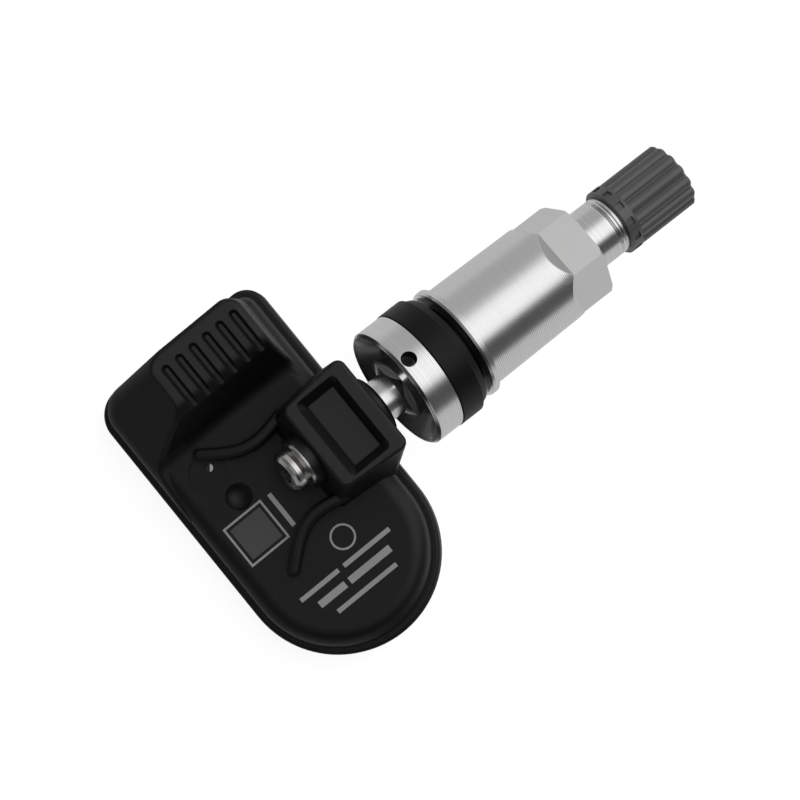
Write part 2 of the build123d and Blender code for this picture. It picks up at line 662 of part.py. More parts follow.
def valve_stem():
    """Turned stem in one piece with its dished collar and the neck that enters the yoke."""
    dish_bottom = collar_front - COLLAR_WEB
    step_back = collar_back + COLLAR_STEP_BACK
    square_back = step_back - NECK_SQUARE_LENGTH
    rim_inner = COLLAR_RADIUS - COLLAR_BEVEL - COLLAR_RIM
    outline = [
        (neck_back, 0), (neck_back, NECK_RADIUS), (step_back, NECK_RADIUS),
        (step_back, COLLAR_STEP_RADIUS), (dish_bottom, COLLAR_STEP_RADIUS),
        (dish_bottom, rim_inner - COLLAR_DISH_TAPER), (collar_back, rim_inner),
        (collar_back, COLLAR_RADIUS - COLLAR_BEVEL), (collar_back + COLLAR_BEVEL, COLLAR_RADIUS),
        (collar_front, COLLAR_RADIUS), (collar_front, STEM_RADIUS)]
    for offset in RING_POSITIONS:
        x = cap_back + offset
        outline += [(x - RING_WIDTH, STEM_RADIUS), (x, STEM_RADIUS - RING_DEPTH),
                    (x + RING_WIDTH, STEM_RADIUS)]
    outline += [
        (cap_back - 2 * THREAD_STEP, STEM_RADIUS), (cap_back - THREAD_STEP, THREAD_RADIUS),
        (stem_front - STEM_TIP, THREAD_RADIUS), (stem_front, THREAD_RADIUS - STEM_TIP), (stem_front, 0)]
    solid = turned(outline)
    square = extrude(across(square_back) * Rectangle(NECK_SQUARE, NECK_SQUARE, rotation=45),
                     NECK_SQUARE_LENGTH)
    reach = NECK_RADIUS + NECK_SQUARE_CHAMFER
    corners = turned([(square_back, 0), (square_back, NECK_RADIUS), (step_back, reach), (step_back, 0)])
    solid += square & corners
    hole_x = collar_back + COLLAR_LENGTH * HOLDING_HOLE_SHARE
    hole = level(Circle(HOLDING_HOLE_RADIUS), COLLAR_STEP_RADIUS, COLLAR_RADIUS + 1)
    solid -= Rot(-HOLDING_HOLE_ANGLE, 0, 0) * Pos(hole_x, 0, 0) * hole
    solid -= core_chamber()
    solid -= tube(neck_back, neck_back + SCREW_LENGTH, SCREW_RADIUS + RUNNING_GAP)
    solid -= tube(neck_back, core_back, AIR_BORE_RADIUS)
    vent_x = collar_back - NECK_GAP / 2
    solid -= Pos(vent_x, 0, 0) * level(Circle(VENT_RADIUS), -NECK_RADIUS - 1, 0)
    return solid


def core_chamber():
    """Stepped bore at the stem's mouth that takes the valve core."""
    deep = core_back - PIN_TRAVEL - CORE_FOOT_ROOM
    lower = CORE_LOWER_RADIUS + FIT_GAP + RUNNING_GAP
    upper = CORE_RADIUS + RUNNING_GAP
    return turned([
        (deep, 0), (deep, lower), (core_seat - CORE_SEAL_LENGTH, lower), (core_seat, upper),
        (stem_front - CORE_MOUTH[0], upper), (stem_front, upper + CORE_MOUTH[1]), (stem_front, 0)])


def core_barrel():
    """Brass core body: threaded top with tool flats, slim lower barrel, spring chamber."""
    head = core_seat + CORE_HEAD_STEP
    tool = CORE_RADIUS - CORE_WALL
    solid = turned([
        (core_back, PIN_RADIUS + FIT_GAP), (core_back, core_bore), (head, core_bore),
        (head, CORE_RADIUS), (core_shoulder, CORE_RADIUS), (core_shoulder, tool), (core_front, tool),
        (core_front, CORE_CHAMBER_RADIUS), (core_back + CORE_FLOOR, CORE_CHAMBER_RADIUS),
        (core_back + CORE_FLOOR, PIN_RADIUS + FIT_GAP)])
    reach = 2 * CORE_RADIUS
    for side in (-1, 1):
        z = sorted((side * CORE_TOOL_FLAT / 2, side * reach))
        solid -= block((core_shoulder, core_front), (-reach, reach), z)
    return solid


def core_seal():
    """Plastic sealing ring round the core, on the taper in the stem."""
    back = core_seat - CORE_SEAL_LENGTH
    head = core_seat + CORE_HEAD_STEP
    return turned([
        (back, core_bore), (back, CORE_LOWER_RADIUS + FIT_GAP),
        (core_seat - RUNNING_GAP, CORE_RADIUS - FIT_GAP),
        (head, CORE_RADIUS - FIT_GAP), (head, core_bore)])


def core_pin():
    """Plunger with a button at the mouth, a spring collar and a cup at its foot."""
    cup_front = core_back - CORE_FOOT_SEAL
    cup_radius = CORE_LOWER_RADIUS - FIT_GAP
    collar = CORE_CHAMBER_RADIUS - PIN_COLLAR_GAP
    button_back = core_front - PIN_BUTTON_BACK
    button_front = core_front + PIN_BUTTON_FRONT
    return turned([
        (cup_front - PIN_CUP, 0), (cup_front - PIN_CUP, cup_radius), (cup_front, cup_radius),
        (cup_front, PIN_RADIUS), (core_shoulder - PIN_COLLAR, PIN_RADIUS),
        (core_shoulder - PIN_COLLAR, collar), (core_shoulder, collar), (core_shoulder, PIN_RADIUS),
        (button_back, PIN_RADIUS), (button_back, PIN_BUTTON_RADIUS), (button_front, PIN_BUTTON_RADIUS),
        (button_front + PIN_BUTTON_CROWN, 0)])


def core_foot_seal():
    """Rubber ring in the pin's cup, which closes the barrel's foot."""
    return tube(core_back - CORE_FOOT_SEAL, core_back - SNUG_GAP, core_bore, PIN_RADIUS)


def core_spring():
    """Coil spring round the pin, from the chamber's floor to the pin's collar."""
    room = SPRING_WIRE / 2 + SNUG_GAP
    start = core_back + CORE_FLOOR + room
    end = core_shoulder - PIN_COLLAR - room
    coil = Helix((end - start) / SPRING_TURNS, end - start, CORE_CHAMBER_RADIUS - FIT_GAP - room)
    wire_end = Plane(origin=coil @ 0, z_dir=coil % 0)
    wire = sweep(wire_end * RegularPolygon(SPRING_WIRE / 2, 6), coil, is_frenet=True)
    return Pos(start, 0, 0) * Rot(0, 90, 0) * wire


def rubber_grommet():
    """Sealing grommet: a thick flange inside the rim and a neck through its hole."""
    bore = STEM_RADIUS + SNUG_GAP
    edge_x, edge_drop = GROMMET_EDGE_STEP
    return turned([
        (collar_front, bore), (collar_front, grommet_flange_radius - GROMMET_ROUND),
        (collar_front + GROMMET_ROUND, grommet_flange_radius),
        (-GROMMET_EDGE - edge_x, grommet_flange_radius),
        (-GROMMET_EDGE, grommet_flange_radius - edge_drop),
        (0, grommet_flange_radius - GROMMET_EDGE_SLOPE),
        (0, GROMMET_NECK_RADIUS), (GROMMET_NECK_LENGTH, GROMMET_NECK_RADIUS - GROMMET_ROUND),
        (GROMMET_NECK_LENGTH, bore)])


def slip_washer():
    """Thin washer between the grommet's neck and the floor of the nut's recess."""
    floor = recess_floor()
    return tube(floor - WASHER_THICKNESS, floor, NUT_RECESS_RADIUS - FIT_GAP, STEM_RADIUS + FIT_GAP)


def recess_floor():
    """Where the nut's recess ends, on the slip washer."""
    return GROMMET_NECK_LENGTH + FIT_GAP + WASHER_THICKNESS


def sleeve_nut():
    """Long turned nut with a lip behind and a milled hexagon with ramped flats in front."""
    lip_end = nut_back + NUT_LIP_LENGTH
    front_radius = NUT_RADIUS - NUT_TAPER
    solid = turned([
        (nut_back, NUT_RECESS_RADIUS), (nut_back, NUT_LIP_RADIUS - NUT_LIP_EDGE),
        (nut_back + NUT_LIP_EDGE / 3, NUT_LIP_RADIUS - NUT_LIP_EDGE / 3),
        (nut_back + NUT_LIP_EDGE, NUT_LIP_RADIUS), (lip_end - NUT_LIP_SLOPE, NUT_LIP_RADIUS),
        (lip_end, NUT_RADIUS), (nut_front - NUT_FRONT_EDGE, front_radius),
        (nut_front, front_radius - NUT_FRONT_EDGE),
        (nut_front, STEM_RADIUS + RUNNING_GAP), (recess_floor(), STEM_RADIUS + RUNNING_GAP),
        (recess_floor(), NUT_RECESS_RADIUS)])
    ramp_start = nut_back + NUT_CYLINDER_LENGTH
    flat_start = ramp_start + NUT_RAMP_LENGTH
    flat = NUT_HEX / 2
    cutter = make_face(Polyline(
        (ramp_start, NUT_RADIUS), (flat_start, flat), (nut_front + 1, flat),
        (nut_front + 1, 2 * NUT_RADIUS), (ramp_start, 2 * NUT_RADIUS), close=True))
    cutter = extrude(Plane.XZ * cutter, NUT_RADIUS * 2, both=True)
    for i in range(6):
        solid -= Rot(-NUT_HEX_ANGLE + 30 + i * 60, 0, 0) * cutter
    return solid


def fluted_face(radius):
    """Round face with convex lobes, the cap's section."""
    pitch = radius - CAP_FLUTE_RADIUS
    face = Circle(THREAD_RADIUS + RUNNING_GAP + CAP_WALL)
    for i in range(CAP_FLUTES):
        turn = CAP_FLUTE_ANGLE + i * 360 / CAP_FLUTES
        face += Rot(0, 0, turn) * Pos(pitch, 0) * Circle(CAP_FLUTE_RADIUS)
    return face


def valve_cap():
    """Moulded cap: fluted grip, plain rim with square notches, bore for stem and seal."""
    grip_back = cap_back + CAP_RIM_LENGTH
    edge_back = cap_front - CAP_EDGE
    solid = extrude(across(grip_back) * fluted_face(CAP_RADIUS), edge_back - grip_back)
    solid += extrude(across(edge_back) * fluted_face(CAP_RADIUS), CAP_EDGE, taper=CAP_EDGE_ANGLE)
    rim = turned([(cap_back, 0), (cap_back, CAP_RADIUS - CAP_RIM_EDGE),
                  (cap_back + CAP_RIM_EDGE, CAP_RADIUS), (grip_back, CAP_RADIUS), (grip_back, 0)])
    half = CAP_NOTCH_SIZE / 2
    notch_back = cap_back + (CAP_RIM_LENGTH - CAP_NOTCH_SIZE) / 2
    notch = block((notch_back, notch_back + CAP_NOTCH_SIZE), (-half, half),
                  (CAP_RADIUS - CAP_NOTCH_DEPTH, CAP_RADIUS + 1))
    for i in range(CAP_NOTCHES):
        rim -= Rot(CAP_NOTCH_ANGLE + i * 360 / CAP_NOTCHES, 0, 0) * notch
    solid += rim
    return solid - tube(cap_back, seal_front, THREAD_RADIUS + RUNNING_GAP)


def cap_seal():
    return tube(stem_front, seal_front, THREAD_RADIUS - FIT_GAP, CORE_RADIUS)


PARTS = {
    "housing": housing,
    "base_cover": base_cover,
    "circuit_board": circuit_board,
    "battery": battery,
    "battery_tab_lower": battery_tab_lower,
    "battery_tab_upper": battery_tab_upper,
    "sensor_chip": sensor_chip,
    "port_gasket": port_gasket,
    "port_filter": port_filter,
    "coil_core": coil_core,
    "coil_winding": coil_winding,
    "crystal": crystal,
    "radio_antenna": radio_antenna,
    "chip_parts": chip_parts,
    "mounting_screw": mounting_screw,
    "valve_stem": valve_stem,
    "core_barrel": core_barrel,
    "core_seal": core_seal,
    "core_pin": core_pin,
    "core_foot_seal": core_foot_seal,
    "core_spring": core_spring,
    "rubber_grommet": rubber_grommet,
    "slip_washer": slip_washer,
    "sleeve_nut": sleeve_nut,
    "valve_cap": valve_cap,
    "cap_seal": cap_seal,
}

os.makedirs("parts", exist_ok=True)
for name, make in PARTS.items():
    export_step(make(), f"parts/{name}.step")
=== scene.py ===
import bpy
import math
from mathutils import Matrix, Vector


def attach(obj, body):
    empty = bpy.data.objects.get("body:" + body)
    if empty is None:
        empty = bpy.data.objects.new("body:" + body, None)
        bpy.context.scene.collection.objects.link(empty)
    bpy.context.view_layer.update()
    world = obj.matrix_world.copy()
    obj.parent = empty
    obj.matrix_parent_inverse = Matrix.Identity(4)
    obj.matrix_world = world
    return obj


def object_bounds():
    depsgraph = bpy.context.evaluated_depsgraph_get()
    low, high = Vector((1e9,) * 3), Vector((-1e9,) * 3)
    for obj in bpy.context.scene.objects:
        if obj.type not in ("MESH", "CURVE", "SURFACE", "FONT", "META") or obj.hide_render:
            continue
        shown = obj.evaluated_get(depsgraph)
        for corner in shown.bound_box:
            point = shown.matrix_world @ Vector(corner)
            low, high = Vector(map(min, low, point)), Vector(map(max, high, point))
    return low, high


# Tyre pressure sensor on a clamp-in valve: finishes, print, floor, light and camera. Lengths are in
# metres, in the valve's frame: +X along the valve towards its cap, +Z on the side of the label face.
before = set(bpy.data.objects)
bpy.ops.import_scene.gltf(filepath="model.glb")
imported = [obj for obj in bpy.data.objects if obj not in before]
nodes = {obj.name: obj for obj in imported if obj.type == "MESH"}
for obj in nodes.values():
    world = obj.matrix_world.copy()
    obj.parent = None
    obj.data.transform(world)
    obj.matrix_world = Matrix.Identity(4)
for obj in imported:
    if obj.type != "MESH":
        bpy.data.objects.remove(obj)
cad_low, cad_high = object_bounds()

MM = 0.001

# The housing's own frame: level with the label face, on the valve axis, leaned back by this angle
VALVE_LEAN = math.radians(18.5)
HOUSING_TURN = Matrix.Rotation(-VALVE_LEAN, 3, "Y")
HOUSING_ORIGIN = Vector((-19.0 * MM, 0, 0))
LABEL_HEIGHT = -2.6 * MM

# Camera, in the housing's frame: the side it stands on, its roll, and the pixel of that frame's origin
CAMERA_SIDE = (0.055, -0.079)
CAMERA_ROLL = math.radians(39.337)
CAMERA_DISTANCE = 0.555
CAMERA_CLIP = (0.05, 20.0)
SENSOR_WIDTH = 36.0
FOCAL_LENGTH = 202.5
PICTURE_SIDE = 800
ORIGIN_PIXEL = (329.4, 441.2)

# Floor: its brightness to the camera, and the share of its real shading that the camera also sees
FLOOR_DROP = 0.5 * MM
FLOOR_SIZE = 4.0
FLOOR_COLOUR = (0.9, 0.9, 0.9)
FLOOR_SHOWN = 1.22
FLOOR_SHADOW_SHARE = 0.25

# Painted brightness of the floor in reflections, by millimetres along the valve, with a painted shadow under
# the housing
FLOOR_PAINTED_REFLECTION = [(-60, 0.33), (-34, 0.33), (-26, 0.08), (-11, 0.08), (-7, 0.56), (60, 0.56)]

# Brightness of the room by the angle about the valve, from straight down on the far side (-180
# degrees) over the top (0) to straight down on the bump's side (180)
ROOM_BANDS = [(-180, 0.56), (-100, 0.56), (-90, 0.42), (-80, 0.1), (-50, 0.07), (-42, 0.2), (-34, 0.85),
              (-25, 1.12), (0, 1.12), (14, 1.0), (26, 0.6), (38, 0.43), (75, 0.43), (92, 0.52),
              (105, 0.57), (180, 0.57)]

# Share of that brightness by how far a direction points along the valve, towards its cap at 1
ROOM_SIDES = [(-1, 0.12), (-0.37, 0.3), (0.1, 1), (1, 1)]

# Square lamp above the part, which lights it but isn't seen in its reflections
LAMP_PLACE = (0.0, -0.05, 0.8)
LAMP_SIDE = 0.5
LAMP_RADIANCE = 0.9

# Collar: painted shade inside the hole for a holding pin, between two radii, and painted shade on the floor
# of the dish
HOLE_X = -6.857 * MM
HOLE_ANGLE = math.radians(9)
HOLE_RADIUS = 1.05 * MM
HOLE_BOTTOM = 6.2 * MM
HOLE_TOP = 8.3 * MM
HOLE_PAINTED_SHADE = (0.001, 0.001, 0.001)
DISH_FLOOR_X = -8.15 * MM
DISH_FLOOR_MARGIN = 0.03 * MM
DISH_FLOOR_PAINTED_SHADE = (0.16, 0.16, 0.16)

# Nut: where its milled flats lie, and the one that faces up, which gets painted shade
FLATS_FROM = 15.4 * MM
FLATS_RADIUS = 6.93 * MM
FLATS_COLOUR = (0.8, 0.8, 0.8)
FLATS_ROUGHER = 0.05
TOP_FLAT_FACES_UP = 0.8
TOP_FLAT_PAINTED_SHADE = (0.57, 0.57, 0.565)

# Thread under the cap. Its profile gives places along the pitch and shares of the crest's height.
CAP_BACK = 27.4 * MM
STEM_FRONT = 36.1 * MM
THREAD_RADIUS = 3.87 * MM
THREAD_CREST = 0.035 * MM
THREAD_PITCH = 0.794 * MM
THREAD_MARGIN = 0.5 * THREAD_PITCH
THREAD_STEPS = 48
THREAD_PROFILE = [(-0.32, -0.2), (-0.12, 1), (0.12, 1), (0.32, -0.2)]

# Housing: painted light on its raised level faces, which are made paler between these heights and slopes
RAISED_HEIGHTS = (-2 * MM, 0.5 * MM)
RAISED_FACES_UP = (0.9, 0.99)
RAISED_PAINTED_LIGHT = (0.024, 0.024, 0.0245)

# Port in millimetres in the housing's frame, and the side and distance of the painted glint on the filter
PORT_AT = (-13.9, 7.2)
FILTER_GLINT_TOWARD = (0.79, -0.61)
FILTER_GLINT_OFFSET = 0.05 * MM
FILTER_GLINT_COLOUR = (0.85, 0.85, 0.85)

# Print on the label face, in millimetres in the housing's frame: the middle of each field, its size
# or radius, and the width of its line. The plain field lies in the middle of the frame.
PRINT_HEIGHT = 0.012 * MM
PRINT_FRAME = ((-14.4, -2.9), (6.05, 5.95), 0.28)
PRINT_FIELD = (4.7, 4.6)
PRINT_RING = ((-6.32, -10.02), 1.66, 0.26)
PRINT_RING_CORNERS = 64
PRINT_BARS = [((-12.35, -12.9), (6.05, 0.6)), ((-4.85, -12.9), (7.3, 0.6)), ((-11.8, -14.8), (4.15, 0.95)),
              ((-5.85, -14.8), (6.5, 0.95)), ((-7.95, -16.85), (9.35, 0.6)), ((-10.1, -2.6), (0.6, 5.0))]

# Finishes: how many changes of tone there are to a metre, their detail, and how roughness varies
MOULDED_TONES = 220
METAL_TONES = 300
PLAIN_TONES = 900
TONE_DETAIL = 3
LINE_DETAIL = 4
MOULDED_SPREAD = (-0.06, 0.06)
METAL_SPREAD = (-0.04, 0.06)
PLAIN_SPREAD = (-0.05, 0.08)
GROOVE_PITCH = 0.25 * MM
LINE_EDGES = (0.35, 0.65)


def from_housing(x, y, z):
    """Point or direction of the housing's frame, in metres, turned into the valve's frame."""
    return HOUSING_TURN @ Vector((x, y, z))


def feed(tree, value, socket):
    """Gives a socket what another one sends, or a colour, or a number."""
    if isinstance(value, bpy.types.NodeSocket):
        tree.links.new(value, socket)
    elif isinstance(value, tuple):
        socket.default_value = (*value, 1)
    else:
        socket.default_value = value


def add(tree, kind, **values):
    """Shader node with its settings and sockets filled in by name."""
    node = tree.nodes.new(kind)
    for key, value in values.items():
        if hasattr(node, key):
            setattr(node, key, value)
        else:
            feed(tree, value, node.inputs[key.replace("_", " ")])
    return node


def coordinates(tree, kind):
    return add(tree, "ShaderNodeTexCoord").outputs[kind]


def place(tree):
    """Place in the valve's frame."""
    return coordinates(tree, "Object")


def math_node(tree, operation, *values):
    """One calculation with sockets and numbers."""
    node = add(tree, "ShaderNodeMath", operation=operation)
    for value, socket in zip(values, node.inputs):
        feed(tree, value, socket)
    return node.outputs[0]


def above(tree, value, limit):
    return math_node(tree, "GREATER_THAN", value, limit)


def below(tree, value, limit):
    return math_node(tree, "LESS_THAN", value, limit)


def all_of(tree, first, *others):
    """Where every mask holds."""
    whole = first
    for mask in others:
        whole = math_node(tree, "MULTIPLY", whole, mask)
    return whole


def hypotenuse(tree, *sides):
    """Distance from two sides that are square to each other."""
    squares = [math_node(tree, "MULTIPLY", side, side) for side in sides]
    return math_node(tree, "SQRT", math_node(tree, "ADD", *squares))


def ramp(tree, source, start, end, low=0, high=1):
    """Goes from low to high while the source goes from start to end, and stays there."""
    node = add(tree, "ShaderNodeMapRange", Value=source,
               From_Min=start, From_Max=end, To_Min=low, To_Max=high)
    return node.outputs["Result"]


def along(tree, where, direction):
    """How far a place lies along a direction."""
    node = add(tree, "ShaderNodeVectorMath", operation="DOT_PRODUCT")
    node.inputs[1].default_value = direction
    feed(tree, where, node.inputs[0])
    return node.outputs["Value"]


def valve_place(tree, where):
    """Distance along the valve and from its axis."""
    split = add(tree, "ShaderNodeSeparateXYZ", Vector=where)
    return split.outputs["X"], hypotenuse(tree, split.outputs["Y"], split.outputs["Z"])


def noise(tree, source, scale, detail):
    return add(tree, "ShaderNodeTexNoise", Vector=source, Scale=scale, Detail=detail).outputs["Fac"]


def mix(tree, share, first, second):
    """Colour between two others, by a 0 to 1 share of the second."""
    node = add(tree, "ShaderNodeMix", data_type="RGBA", Factor=share)
    colours = [socket for socket in node.inputs if socket.type == "RGBA"]
    feed(tree, first, colours[0])
    feed(tree, second, colours[1])
    return [socket for socket in node.outputs if socket.type == "RGBA"][0]


def opened(material):
    """Tree and shader of a material."""
    return material.node_tree, material.node_tree.nodes["Principled BSDF"]


def new_material(name, colour, roughness, **extra):
    """Material with one Principled shader, returned with its tree and shader."""
    material = bpy.data.materials.new(name)
    material.use_nodes = True
    tree, shader = opened(material)
    for key, value in {"Base_Color": colour, "Roughness": roughness, **extra}.items():
        feed(tree, value, shader.inputs[key.replace("_", " ")])
    return material, tree, shader


def vary_roughness(tree, shader, source, roughness, spread):
    """Varies the roughness about its value, by a 0 to 1 source."""
    low, high = spread
    feed(tree, ramp(tree, source, 0, 1, roughness + low, roughness + high), shader.inputs["Roughness"])


def relief(tree, shader, source, height):
    """Adds fine relief of a real height to a shader."""
    bump = add(tree, "ShaderNodeBump", Strength=1, Distance=height, Height=source)
    feed(tree, bump.outputs["Normal"], shader.inputs["Normal"])


def paint(tree, shader, mask, colour):
    """Changes the shader's colour where a mask holds."""
    socket = shader.inputs["Base Color"]
    feed(tree, mix(tree, mask, socket.links[0].from_socket, colour), socket)


def roughen(tree, shader, extra):
    """Adds to the shader's roughness."""
    socket = shader.inputs["Roughness"]
    feed(tree, math_node(tree, "ADD", socket.links[0].from_socket, extra), socket)


def moulded(name, dark, light, roughness, grain, height, gloss=0.5):
    """Plastic or rubber with slow changes of tone and an eroded grain.

    The grain's size and height are in millimetres.
    """
    material, tree, shader = new_material(name, light, roughness, Specular_IOR_Level=gloss)
    where = place(tree)
    tones = noise(tree, where, MOULDED_TONES, TONE_DETAIL)
    feed(tree, mix(tree, tones, dark, light), shader.inputs["Base Color"])
    fine = noise(tree, where, 1 / (grain * MM), TONE_DETAIL)
    vary_roughness(tree, shader, fine, roughness, MOULDED_SPREAD)
    relief(tree, shader, fine, height * MM)
    return material


def housing_plastic():
    """Black moulded plastic, with painted light on the raised level faces: paler there, as they lie nearer
    the light.
    """
    material = moulded("black_plastic", (0.0025, 0.0025, 0.003), (0.004, 0.004, 0.0045),
                       roughness=0.46, grain=0.11, height=0.008, gloss=0.42)
    tree, shader = opened(material)
    upward = from_housing(0, 0, 1)
    origin = HOUSING_ORIGIN.dot(upward)
    low, high = RAISED_HEIGHTS
    raised = ramp(tree, along(tree, place(tree), upward), origin + low, origin + high)
    level = ramp(tree, along(tree, coordinates(tree, "Normal"), upward), *RAISED_FACES_UP)
    # Painted light: the raised level faces are made paler in colour
    paint(tree, shader, all_of(tree, raised, level), RAISED_PAINTED_LIGHT)
    return material


def turned_metal(name, dark, light, roughness, pitch, height, grooved=0.0):
    """Turned metal: tool marks that run round, beside one another along X and outwards, as real relief and as
    painted shade and highlight in the colour.

    Their pitch and height are in millimetres. The higher grooved is, up to a half, the more even
    they are along X.
    """
    material, tree, shader = new_material(name, light, roughness, Metallic=1.0)
    where = place(tree)
    x, radius = valve_place(tree, where)
    marks = add(tree, "ShaderNodeCombineXYZ", X=x, Y=radius)
    uneven = noise(tree, marks.outputs["Vector"], 1 / (pitch * MM), LINE_DETAIL)
    wave = math_node(tree, "SINE", math_node(tree, "MULTIPLY", x, 2 * math.pi / GROOVE_PITCH))
    even = math_node(tree, "MULTIPLY", math_node(tree, "ADD", wave, 1), grooved)
    ring_relief_and_shade = math_node(tree, "ADD", math_node(tree, "MULTIPLY", uneven, 1 - 2 * grooved), even)
    # Painted shade and highlight: the tool marks' lines are darker and lighter in colour, standing in for the
    # light on their slopes
    feed(tree, mix(tree, ramp(tree, ring_relief_and_shade, *LINE_EDGES), dark, light), shader.inputs["Base Color"])
    tones = noise(tree, where, METAL_TONES, TONE_DETAIL)
    vary_roughness(tree, shader, tones, roughness, METAL_SPREAD)
    relief(tree, shader, ring_relief_and_shade, height * MM)
    return material


def stem_metal():
    """Turned aluminium with painted shade inside the holding hole in the collar and on the floor of its dish.
    """
    material = turned_metal("turned_stem", (0.72, 0.72, 0.73), (0.87, 0.87, 0.88),
                            roughness=0.2, pitch=0.15, height=0.005, grooved=0.15)
    tree, shader = opened(material)
    where = place(tree)
    x, radius = valve_place(tree, where)
    # Painted shade: the floor of the dish is painted darker, hiding its bright reflections
    behind, front = DISH_FLOOR_X - DISH_FLOOR_MARGIN, DISH_FLOOR_X + DISH_FLOOR_MARGIN
    paint(tree, shader, all_of(tree, above(tree, x, behind), below(tree, x, front)), DISH_FLOOR_PAINTED_SHADE)
    # Painted shade: the inside of the holding hole is painted black, not metallic and rough, so it shows no
    # reflection
    sideways = along(tree, where, (0, math.cos(HOLE_ANGLE), -math.sin(HOLE_ANGLE)))
    from_hole = hypotenuse(tree, math_node(tree, "SUBTRACT", x, HOLE_X), sideways)
    hole_shade_mask = all_of(tree,
                     below(tree, from_hole, HOLE_RADIUS),
                     below(tree, radius, HOLE_TOP),
                     above(tree, radius, HOLE_BOTTOM),
                     above(tree, along(tree, where, (0, 0, 1)), 0))
    paint(tree, shader, hole_shade_mask, HOLE_PAINTED_SHADE)
    roughen(tree, shader, hole_shade_mask)
    feed(tree, math_node(tree, "SUBTRACT", 1, hole_shade_mask), shader.inputs["Metallic"])
    return material


def nut_metal():
    """Turned aluminium with a little rougher milled flats, and painted shade on the upper one."""
    material = turned_metal("turned_nut", (0.71, 0.71, 0.715), (0.89, 0.89, 0.89),
                            roughness=0.22, pitch=0.16, height=0.006, grooved=0.25)
    tree, shader = opened(material)
    x, radius = valve_place(tree, place(tree))
    flats = all_of(tree, above(tree, x, FLATS_FROM), below(tree, radius, FLATS_RADIUS))
    faces_up = along(tree, coordinates(tree, "Normal"), (0, 0, 1))
    paint(tree, shader, flats, FLATS_COLOUR)
    # Painted shade: the flat that faces up is painted darker
    paint(tree, shader, all_of(tree, flats, above(tree, faces_up, TOP_FLAT_FACES_UP)), TOP_FLAT_PAINTED_SHADE)
    roughen(tree, shader, math_node(tree, "MULTIPLY", flats, FLATS_ROUGHER))
    return material


def plain(name, dark, light, roughness, metallic=0.0):
    """Small inner piece: two close tones and a slight change of gloss."""
    material, tree, shader = new_material(name, light, roughness, Metallic=metallic)
    speckle = noise(tree, place(tree), PLAIN_TONES, TONE_DETAIL)
    feed(tree, mix(tree, speckle, dark, light), shader.inputs["Base Color"])
    vary_roughness(tree, shader, speckle, roughness, PLAIN_SPREAD)
    return material


def filter_disc():
    """Dark porous disc under the port, with a painted glint: bright metal on one side."""
    material = plain("filter_disc", (0.02, 0.02, 0.02), (0.04, 0.04, 0.04), 0.3)
    tree, shader = opened(material)
    port = HOUSING_ORIGIN + from_housing(*[value * MM for value in PORT_AT], 0)
    side = from_housing(*FILTER_GLINT_TOWARD, 0)
    # Painted highlight: one side of the disc is made bright metal, standing in for a glint
    glint = above(tree, along(tree, place(tree), side), port.dot(side) + FILTER_GLINT_OFFSET)
    paint(tree, shader, glint, FILTER_GLINT_COLOUR)
    feed(tree, glint, shader.inputs["Metallic"])
    return material


PRINT_INK = moulded("print_ink", (0.36, 0.36, 0.36), (0.46, 0.46, 0.46),
                    roughness=0.6, grain=0.1, height=0.001)
FIELD_INK = moulded("field_ink", (0.07, 0.07, 0.07), (0.1, 0.1, 0.1),
                    roughness=0.6, grain=0.1, height=0.001)

